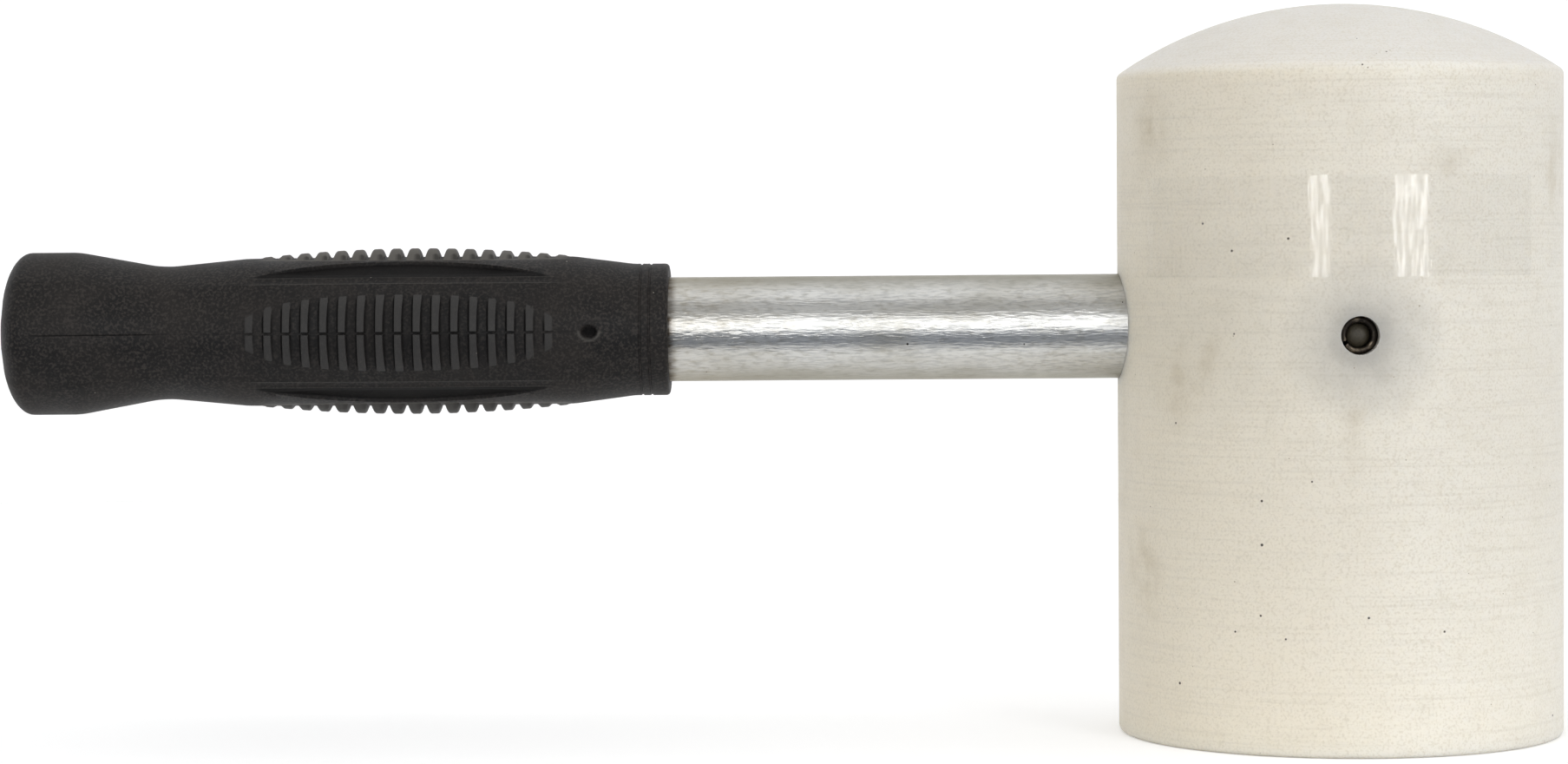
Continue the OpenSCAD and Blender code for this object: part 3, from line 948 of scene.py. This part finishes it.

# %% [markdown]
# ## Nylon
#
# Turned PA6 nylon is off-white, a little see-through and never quite clean. Light that sinks in comes out
# some millimetres further on, so shadows on it are soft, and the steel in the socket and the pin shows
# through as a grey shade, which is also painted into the colour. A lathe leaves fine rings, level on the
# side and circles on the dome: the height minus the distance from the axis counts them on every face
# alike. Work adds specks, pits and brownish stains. The side towards the handle is painted darker and
# warmer as shade, and the dome is painted cooler for the ceiling's light on it.

# %% Nylon finish
def make_nylon():
    material, tree = empty_material("turned_nylon")
    place = add_node(tree, "ShaderNodeTexCoord").outputs["Object"]
    parts = add_node(tree, "ShaderNodeSeparateXYZ", {0: place})
    level = add_node(tree, "ShaderNodeVectorMath", {0: place, 1: (1, 1, 0)}, operation="MULTIPLY")
    off_axis = add_node(tree, "ShaderNodeVectorMath", {0: level.outputs[0]}, operation="LENGTH")
    ring = add_node(tree, "ShaderNodeMath", {
        0: parts.outputs["Z"], 1: off_axis.outputs["Value"],
    }, operation="SUBTRACT")

    # Tool marks 0.6 mm apart and some 25 mm long
    ring_up = add_node(tree, "ShaderNodeCombineXYZ", {2: ring.outputs[0]})
    wound = add_node(tree, "ShaderNodeVectorMath", {
        0: level.outputs[0], 1: ring_up.outputs[0],
    }, operation="ADD")
    marks = stretched_pattern(tree, wound.outputs[0], (25, 25, 0.6), 3.0)
    # Cloudy tone 40 mm across, mottling 5 mm across and grain 0.5 mm across
    cloud, mottle, grain = [
        add_node(tree, "ShaderNodeTexNoise", {
            "Vector": place, "Scale": 1 / (across * MM), "Detail": detail,
        }).outputs["Fac"]
        for across, detail in ((40, 3.0), (5, 5.0), (0.5, 2.0))
    ]

    # Painted shade and light: the side towards the handle, away from the brighter softbox, is painted darker
    # and warmer, and the dome, under the ceiling lamp, is painted cooler and a little darker
    rim_h = HEAD_H - DOME_RISE
    colour = add_tints(tree, linear("#E6E1D5"), (
        (cloud, 0.3, 0.7, 1.0, "#EBE7DC"),
        (parts.outputs["X"], 0.3 * HEAD_R * MM, -HEAD_R * MM, 0.75, "#E2D8C2"),
        (parts.outputs["Z"], (rim_h - 1) * MM, (rim_h + 1) * MM, 0.7, "#DCDAD6"),
        (mottle, 0.5, 0.8, 0.2, "#CFC6B2"),
        (marks, 0.5, 0.72, 0.25, "#C9C2B3"),
        (grain, 0.48, 0.7, 0.45, "#C8BFAC"),
    ))

    # Painted shade where the tube and the pin show through, in the first three rows, then brownish stains:
    # middle and reach in millimetres, colour, strength and patchiness
    front = -HEAD_R
    for middle, reach, hex_colour, strength, patches in (
        # Painted shade where the tube in the socket and the pin show through the nylon
        ((-30, 0.8 * front, HANDLE_H), (34, 40, 22), "#A9A394", 0.25, 0.1),
        ((PIN_X, front, PIN_Z), (7, 7, 7), "#6E6A62", 0.8, 0.1),
        ((PIN_X + 1, front, PIN_Z - 1), (17, 17, 17), "#A3A19C", 0.75, 0.1),
        # Brownish stains
        ((-36, 0.62 * front, 72), (8, 9, 11), "#B8A98C", 0.26, 0.5),
        ((-30, 0.75 * front, 77), (6, 6, 8), "#B8A98C", 0.22, 0.5),
        ((-3, front, 62), (3, 6, 12), "#C0B49B", 0.3, 0.6),
        ((16, 0.93 * front, 115), (6, 6, 5), "#B8AC96", 0.18, 0.6),
        ((40, 0.42 * front, 114), (5, 8, 11), "#B8A98C", 0.28, 0.6),
        ((-40, 0.45 * front, 122), (6, 9, 10), "#B0A080", 0.26, 0.6),
        ((-41, 0.4 * front, 34), (6, 9, 12), "#B0A080", 0.25, 0.6),
    ):
        spot_at = add_node(tree, "ShaderNodeMapping", {
            "Vector": place, "Location": Vector(middle) * MM, "Scale": Vector(reach) * MM,
        }, vector_type="TEXTURE")
        spot = add_node(tree, "ShaderNodeTexGradient", {0: spot_at.outputs[0]}, gradient_type="SPHERICAL")
        patchy = add_node(tree, "ShaderNodeMapRange", {
            "Value": mottle, "From Min": 0.4, "From Max": 0.62,
            "To Min": (1 - patches) * strength, "To Max": (1 + patches) * strength,
        })
        stain_and_shade = add_node(tree, "ShaderNodeMath", {
            0: spot.outputs["Fac"], 1: patchy.outputs[0],
        }, operation="MULTIPLY", use_clamp=True)
        colour = add_node(tree, "ShaderNodeMix", {
            0: stain_and_shade.outputs[0], 6: colour, 7: linear(hex_colour),
        }, data_type="RGBA").outputs[2]

    # Faint specks in cells of 2.5 mm and black pits in cells of 5 mm
    colour = add_specks(tree, place, colour, 2.5, 0.16, "#9C8F78")
    colour = add_specks(tree, place, colour, 5.0, 0.3, "#4A4238")

    rough = add_node(tree, "ShaderNodeMapRange", {
        "Value": mottle, "From Min": 0.3, "From Max": 0.7, "To Min": 0.45, "To Max": 0.6,
    })
    relief = add_node(tree, "ShaderNodeMath", {0: marks, 1: grain}, operation="ADD")
    bump = add_node(tree, "ShaderNodeBump", {
        "Height": relief.outputs[0], "Strength": 0.2, "Distance": 0.04 * MM,
    })
    shader = add_node(tree, "ShaderNodeBsdfPrincipled", {
        "Base Color": colour, "Roughness": rough.outputs[0], "IOR": 1.53, "Normal": bump.outputs[0],
        "Subsurface Weight": 0.7, "Subsurface Radius": (1.0, 0.9, 0.75), "Subsurface Scale": 6 * MM,
    })
    add_node(tree, "ShaderNodeOutputMaterial", {"Surface": shader.outputs[0]})
    return material


dress(head, "head", make_nylon())

# %% [markdown]
# ## Zinc plating
#
# The tube is cold drawn and zinc plated. Drawing leaves lines along it, and buffing leaves finer ones round
# it, which smear reflections along the tube while they stay narrow round it: the metal is anisotropic. That
# turns two upright lamps into one bright line along the handle. The plating is slightly bumpy, which breaks
# that line up. Stains, pits and a line of dirt at the grip's mouth come from use.

# %% Zinc finish
def make_zinc():
    material, tree = empty_material("zinc_plated_steel")
    place = add_node(tree, "ShaderNodeTexCoord").outputs["Object"]
    parts = add_node(tree, "ShaderNodeSeparateXYZ", {0: place})
    # Drawing lines, bumps of the plating 1 mm across and smears 20 mm long. Real drawing lines are some
    # 0.1 mm apart and too fine to show, so they are drawn 0.4 mm apart
    drawn = stretched_pattern(tree, place, (2.4, 0.4, 0.4), 3.0)
    bumps = stretched_pattern(tree, place, (2, 1, 1), 4.0)
    smear = stretched_pattern(tree, place, (20, 8, 8), 6.0)

    # The upper and lower flank are darker and yellower
    from_axis = add_node(tree, "ShaderNodeMath", {
        0: parts.outputs["Z"], 1: HANDLE_H * MM,
    }, operation="SUBTRACT")
    flank = add_node(tree, "ShaderNodeMath", {0: from_axis.outputs[0]}, operation="ABSOLUTE")
    colour = add_tints(tree, linear("#D3D3D0"), (
        (drawn, 0.46, 0.62, 0.36, "#8E9194"),
        (smear, 0.45, 0.7, 0.5, "#A6A294"),
        (bumps, 0.52, 0.72, 0.4, "#8F8B7E"),
        (flank.outputs[0], 0.7 * TUBE_R * MM, TUBE_R * MM, 0.8, "#8E8A7C"),
    ))
    # Pits up to 0.5 mm across, in cells of 4 mm
    colour = add_specks(tree, place, colour, 4.0, 0.25, "#3B3630")
    # Brown stain within 30 mm of the grip's mouth, and dirt within 2 mm
    mouth = grip_high.x - MOUTH_INSET
    for reach, strength, hex_colour in ((30, 0.4, "#9A8D70"), (2, 1.3, "#4E4030")):
        near_mouth = add_node(tree, "ShaderNodeMapRange", {
            "Value": parts.outputs["X"], "From Min": mouth * MM, "From Max": (mouth + reach) * MM,
            "To Min": strength, "To Max": 0.0,
        }, interpolation_type="SMOOTHSTEP")
        dirt = add_node(tree, "ShaderNodeMath", {
            0: near_mouth.outputs[0], 1: bumps,
        }, operation="MULTIPLY", use_clamp=True)
        colour = add_node(tree, "ShaderNodeMix", {
            0: dirt.outputs[0], 6: colour, 7: linear(hex_colour),
        }, data_type="RGBA").outputs[2]

    rough = add_node(tree, "ShaderNodeMapRange", {
        "Value": smear, "From Min": 0.3, "From Max": 0.7, "To Min": 0.29, "To Max": 0.39,
    })
    fine = add_node(tree, "ShaderNodeBump", {
        "Height": drawn, "Strength": 0.6, "Distance": 0.12 * MM,
    })
    bump = add_node(tree, "ShaderNodeBump", {
        "Height": bumps, "Strength": 0.6, "Distance": 0.025 * MM, "Normal": fine.outputs[0],
    })
    round_tube = add_node(tree, "ShaderNodeTangent", direction_type="RADIAL", axis="X")
    # Dulled zinc stays a little grey at grazing angles too, where clean metal mirrors white
    shader = add_node(tree, "ShaderNodeBsdfPrincipled", {
        "Base Color": colour, "Metallic": 1.0, "Roughness": rough.outputs[0], "Normal": bump.outputs[0],
        "Anisotropic": 0.9, "Anisotropic Rotation": 0.25, "Tangent": round_tube.outputs[0],
        "Specular Tint": linear("#E2E0DB"),
    })
    add_node(tree, "ShaderNodeOutputMaterial", {"Surface": shader.outputs[0]})
    return material


dress(tube, "handle_tube", make_zinc())

# %% [markdown]
# ## Rubber
#
# Moulded rubber is black and matt, with the fine grain of a spark-eroded mould. Hands polish it and brown
# dust greys it. The ribs' crests are paler than the ground, partly for dust and partly as painted light.
# Painted highlights draw pale lines on edges and rims, painted shadow and shade darken the ribs' feet and
# ends, the scoops are darker, partly as painted shade, and dirt darkens the line where the mould's halves
# met: the carving kept all that with each vertex.

# %% Rubber finish
def make_rubber():
    material, tree = empty_material("moulded_rubber")
    place = add_node(tree, "ShaderNodeTexCoord").outputs["Object"]
    # Mould grain and hand marks 12 mm across. The real grain is some 0.2 mm across and too fine to show,
    # so it is drawn 0.55 mm across
    grain, handled = [
        add_node(tree, "ShaderNodeTexNoise", {
            "Vector": place, "Scale": 1 / (across * MM), "Detail": detail,
        }).outputs["Fac"]
        for across, detail in ((0.55, 4.0), (12, 6.0))
    ]
    colour = add_tints(tree, linear("#111010"), (
        (handled, 0.4, 0.65, 1.0, "#221F1D"),
        (grain, 0.46, 0.64, 0.85, "#34302D"),
    ))
    # Paler crests, partly dust and partly painted light; painted highlights and wear; painted shadow,
    # painted shade and dirt
    for name, strength, hex_colour in (
        ("crest", 0.75, "#383736"), ("wear_and_highlight", 0.8, "#5E5B56"), ("dark", 0.9, "#060505"),
    ):
        kept_share = add_node(tree, "ShaderNodeAttribute", attribute_name=name).outputs["Fac"]
        share = add_node(tree, "ShaderNodeMath", {0: kept_share, 1: strength}, operation="MULTIPLY")
        colour = add_node(tree, "ShaderNodeMix", {
            0: share.outputs[0], 6: colour, 7: linear(hex_colour),
        }, data_type="RGBA").outputs[2]
    darkening = share.outputs[0]
    # Pale nicks and grains of dust up to 0.5 mm across, in cells of 5 mm
    colour = add_specks(tree, place, colour, 5.0, 0.25, "#8A857C", draw=1)

    rough = add_node(tree, "ShaderNodeMapRange", {
        "Value": handled, "From Min": 0.3, "From Max": 0.7, "To Min": 0.5, "To Max": 0.66,
    })
    dull = add_node(tree, "ShaderNodeMath", {0: rough.outputs[0], 1: darkening}, operation="MAXIMUM")
    bump = add_node(tree, "ShaderNodeBump", {
        "Height": grain, "Strength": 0.4, "Distance": 0.08 * MM,
    })
    shader = add_node(tree, "ShaderNodeBsdfPrincipled", {
        "Base Color": colour, "Roughness": dull.outputs[0], "Normal": bump.outputs[0],
        "Specular IOR Level": 0.2,
    })
    add_node(tree, "ShaderNodeOutputMaterial", {"Surface": shader.outputs[0]})
    return material


dress(grip, "grip", make_rubber())

# %% [markdown]
# ## Phosphated spring steel and grit
#
# Spring pins are hardened and phosphated: almost black, a little oily, with a bright rub where a hammer
# drove them in. The grit in the bore is dull olive brown.

# %% Pin finish
def make_pin_steel():
    material, tree = empty_material("phosphated_spring_steel")
    place = add_node(tree, "ShaderNodeTexCoord").outputs["Object"]
    # Rubbed spots 1.6 mm across
    rub = add_node(tree, "ShaderNodeTexNoise", {"Vector": place, "Scale": 1 / (1.6 * MM), "Detail": 4.0})
    colour = add_tints(tree, linear("#2E2A26"), ((rub.outputs["Fac"], 0.5, 0.75, 1.0, "#7A6F60"),))
    rough = add_node(tree, "ShaderNodeMapRange", {
        "Value": rub.outputs["Fac"], "From Min": 0.3, "From Max": 0.7, "To Min": 0.5, "To Max": 0.3,
    })
    bump = add_node(tree, "ShaderNodeBump", {
        "Height": rub.outputs["Fac"], "Strength": 0.3, "Distance": 0.05 * MM,
    })
    shader = add_node(tree, "ShaderNodeBsdfPrincipled", {
        "Base Color": colour, "Metallic": 1.0, "Roughness": rough.outputs[0], "Normal": bump.outputs[0],
    })
    add_node(tree, "ShaderNodeOutputMaterial", {"Surface": shader.outputs[0]})
    return material


def make_packed_grit():
    material, tree = empty_material("packed_grit")
    place = add_node(tree, "ShaderNodeTexCoord").outputs["Object"]
    # Grains 0.5 mm across
    grains = add_node(tree, "ShaderNodeTexNoise", {"Vector": place, "Scale": 1 / (0.5 * MM), "Detail": 3.0})
    colour = add_node(tree, "ShaderNodeMix", {
        0: grains.outputs["Fac"], 6: linear("#1F1C15"), 7: linear("#4C4534"),
    }, data_type="RGBA")
    bump = add_node(tree, "ShaderNodeBump", {
        "Height": grains.outputs["Fac"], "Strength": 0.6, "Distance": 0.1 * MM,
    })
    shader = add_node(tree, "ShaderNodeBsdfPrincipled", {
        "Base Color": colour.outputs[2], "Roughness": 0.55, "Normal": bump.outputs[0],
    })
    add_node(tree, "ShaderNodeOutputMaterial", {"Surface": shader.outputs[0]})
    return material


dress(pin, "cross_pin", make_pin_steel())
dress(grit, "cross_pin", make_packed_grit())

# %% [markdown]
# ## Clear film
#
# Polypropylene film is clear, so the eye sees its gloss and a slight greying of what is under it. A
# transparent shader lets the nylon and the lamps through, and a mirror-like share is mixed in that grows
# towards a grazing view. Layer Weight gives that growth alike for both faces of the film.

# %% Film finish
def make_clear_film():
    material, tree = empty_material("clear_polypropylene_film")
    place = add_node(tree, "ShaderNodeTexCoord").outputs["Object"]
    # Upright ripples 3 mm apart, from the roll that the film came on
    ripple = stretched_pattern(tree, place, (3, 3, 14), 2.0)
    bump = add_node(tree, "ShaderNodeBump", {"Height": ripple, "Strength": 0.5, "Distance": 0.2 * MM})
    # Gloss varies in upright streaks 0.8 mm wide
    streak = stretched_pattern(tree, place, (0.8, 0.8, 6), 3.0)
    streaky = add_node(tree, "ShaderNodeMapRange", {
        "Value": streak, "From Min": 0.4, "From Max": 0.6, "To Min": 0.2, "To Max": 1.8,
    })
    # Light and view each cross both faces, so this tint counts four times and greys the nylon by 4 %
    clear = add_node(tree, "ShaderNodeBsdfTransparent", {"Color": linear("#FEFEFE")})
    gloss = add_node(tree, "ShaderNodeBsdfPrincipled", {
        "Base Color": linear("#FFFFFF"), "Metallic": 1.0, "Roughness": 0.1, "Normal": bump.outputs[0],
    })
    weight = add_node(tree, "ShaderNodeLayerWeight", {"Blend": 0.5, "Normal": bump.outputs[0]})
    grazing = add_node(tree, "ShaderNodeMath", {0: weight.outputs["Facing"], 1: 5.0}, operation="POWER")
    share = add_node(tree, "ShaderNodeMapRange", {
        "Value": grazing.outputs[0], "To Min": 0.013, "To Max": 0.4,
    })
    uneven = add_node(tree, "ShaderNodeMath", {
        0: share.outputs[0], 1: streaky.outputs[0],
    }, operation="MULTIPLY")
    mix = add_node(tree, "ShaderNodeMixShader", {
        0: uneven.outputs[0], 1: clear.outputs[0], 2: gloss.outputs[0],
    })
    add_node(tree, "ShaderNodeOutputMaterial", {"Surface": mix.outputs[0]})
    return material


dress(film, "label_film", make_clear_film())

# %% [markdown]
# ## The studio
#
# The tube mirrors the studio, and its bands tell how the photograph was lit: a pale table that ends a
# hand's width in front of the tool, a white ceiling, a grey room, and two upright softboxes beside the
# camera, which also draw the two glare lines on the film. The same studio is built here. Table and
# backdrop are plain white card with a glow that the camera and reflections see, so they come out white
# and no light is added to the tool, and the table keeps the tool's shadow.

# %% Table and backdrop
TABLE_FRONT = -0.095
TABLE_BACK = 0.7
STUDIO_HALF_W = 1.5
TABLE_GLOW = 0.28
BACKDROP_GLOW = 0.26


def flat_sheet(name, corners, material):
    """A sheet whose front is the side from which its corners run anticlockwise."""
    bm = bmesh.new()
    bm.faces.new([bm.verts.new(c) for c in corners])
    mesh = bpy.data.meshes.new(name)
    bm.to_mesh(mesh)
    bm.free()
    mesh.materials.append(material)
    sheet = bpy.data.objects.new(name, mesh)
    bpy.context.scene.collection.objects.link(sheet)
    print(name, "faces", [round(c) for c in mesh.polygons[0].normal])


def make_white_card(name, glow):
    """White card with a glow that only the camera, reflections and see-through pieces see."""
    material, tree = empty_material(name)
    rays = add_node(tree, "ShaderNodeLightPath")
    seen = rays.outputs["Is Camera Ray"]
    for ray in ("Is Glossy Ray", "Is Transmission Ray"):
        either = add_node(tree, "ShaderNodeMath", {0: seen, 1: rays.outputs[ray]}, operation="MAXIMUM")
        seen = either.outputs[0]
    strength = add_node(tree, "ShaderNodeMath", {0: seen, 1: glow}, operation="MULTIPLY")
    card = add_node(tree, "ShaderNodeBsdfDiffuse", {"Color": linear("#F2F2F2")})
    light = add_node(tree, "ShaderNodeEmission", {"Strength": strength.outputs[0]})
    both = add_node(tree, "ShaderNodeAddShader", {0: card.outputs[0], 1: light.outputs[0]})
    # From its back the card is clear, so that it never hides the tool
    back = add_node(tree, "ShaderNodeNewGeometry").outputs["Backfacing"]
    clear = add_node(tree, "ShaderNodeBsdfTransparent")
    one_sided = add_node(tree, "ShaderNodeMixShader", {0: back, 1: both.outputs[0], 2: clear.outputs[0]})
    add_node(tree, "ShaderNodeOutputMaterial", {"Surface": one_sided.outputs[0]})
    return material


flat_sheet("table", [
    (-STUDIO_HALF_W, TABLE_FRONT, 0), (STUDIO_HALF_W, TABLE_FRONT, 0),
    (STUDIO_HALF_W, TABLE_BACK, 0), (-STUDIO_HALF_W, TABLE_BACK, 0),
], make_white_card("white_table", TABLE_GLOW))
flat_sheet("backdrop", [
    (-STUDIO_HALF_W, TABLE_BACK, 0), (STUDIO_HALF_W, TABLE_BACK, 0),
    (STUDIO_HALF_W, TABLE_BACK, STUDIO_HALF_W), (-STUDIO_HALF_W, TABLE_BACK, STUDIO_HALF_W),
], make_white_card("white_backdrop", BACKDROP_GLOW))
print("table ends %.0f mm in front of the handle" % (-TABLE_FRONT / MM))

# %% [markdown]
# Lamps are set by their radiance, which is how bright they look, because that is what the tube and the
# film show. An area lamp's power is its radiance times its area times pi.

# %% Lamps and room
def add_softbox(name, place, aim, width, height, radiance):
    """A rectangular area lamp of this radiance, facing aim."""
    data = bpy.data.lights.new(name, "AREA")
    data.shape = "RECTANGLE"
    data.size = width
    data.size_y = height
    data.energy = radiance * math.pi * width * height
    lamp = bpy.data.objects.new(name, data)
    lamp.location = place
    lamp.rotation_euler = (Vector(aim) - Vector(place)).to_track_quat("-Z", "Y").to_euler()
    lamp.visible_camera = False
    bpy.context.scene.collection.objects.link(lamp)
    print("%s: %.1f W" % (name, data.energy))


AIM = (0.0, -0.04, 0.10)
SOFTBOX_H = 0.64
SOFTBOX_RADIANCE = 6.4
add_softbox("ceiling", place=(0.0, 0.08, 1.3), aim=(0.0, 0.08, 0.0), width=2.4, height=1.22, radiance=0.48)
for name, place, width in (
    ("softbox_left", (-0.35, -1.17, 0.27), 0.21), ("softbox_right", (0.60, -1.06, 0.27), 0.36),
):
    add_softbox(name, place, AIM, width, SOFTBOX_H, SOFTBOX_RADIANCE)

# The room's light below and above the horizon, which is blurred
ROOM_BELOW = (0.28, 0.30, 0.34, 1)
ROOM_ABOVE = (0.60, 0.60, 0.60, 1)
HORIZON_BLUR = 0.12
room = bpy.data.worlds.new("grey_room")
room.use_nodes = True
bpy.context.scene.world = room
room_tree = room.node_tree
room_tree.nodes.clear()
direction = add_node(room_tree, "ShaderNodeTexCoord").outputs["Generated"]
sides = add_node(room_tree, "ShaderNodeSeparateXYZ", {0: direction})
above = add_node(room_tree, "ShaderNodeMapRange", {
    "Value": sides.outputs["Z"], "From Min": -HORIZON_BLUR, "From Max": HORIZON_BLUR,
}, interpolation_type="SMOOTHSTEP")
walls = add_node(room_tree, "ShaderNodeMix", {
    0: above.outputs[0], 6: ROOM_BELOW, 7: ROOM_ABOVE,
}, data_type="RGBA")
# The side walls are lit, the left one more
left = add_node(room_tree, "ShaderNodeMapRange", {
    "Value": sides.outputs["X"], "From Min": -0.9, "From Max": -0.4, "To Min": 0.55, "To Max": 0.0,
})
right = add_node(room_tree, "ShaderNodeMapRange", {
    "Value": sides.outputs["X"], "From Min": 0.4, "From Max": 0.9, "To Min": 1.0, "To Max": 1.22,
})
strength = add_node(room_tree, "ShaderNodeMath", {
    0: left.outputs[0], 1: right.outputs[0],
}, operation="ADD")
light = add_node(room_tree, "ShaderNodeBackground", {
    "Color": walls.outputs[2], "Strength": strength.outputs[0],
})
add_node(room_tree, "ShaderNodeOutputWorld", {"Surface": light.outputs[0]})
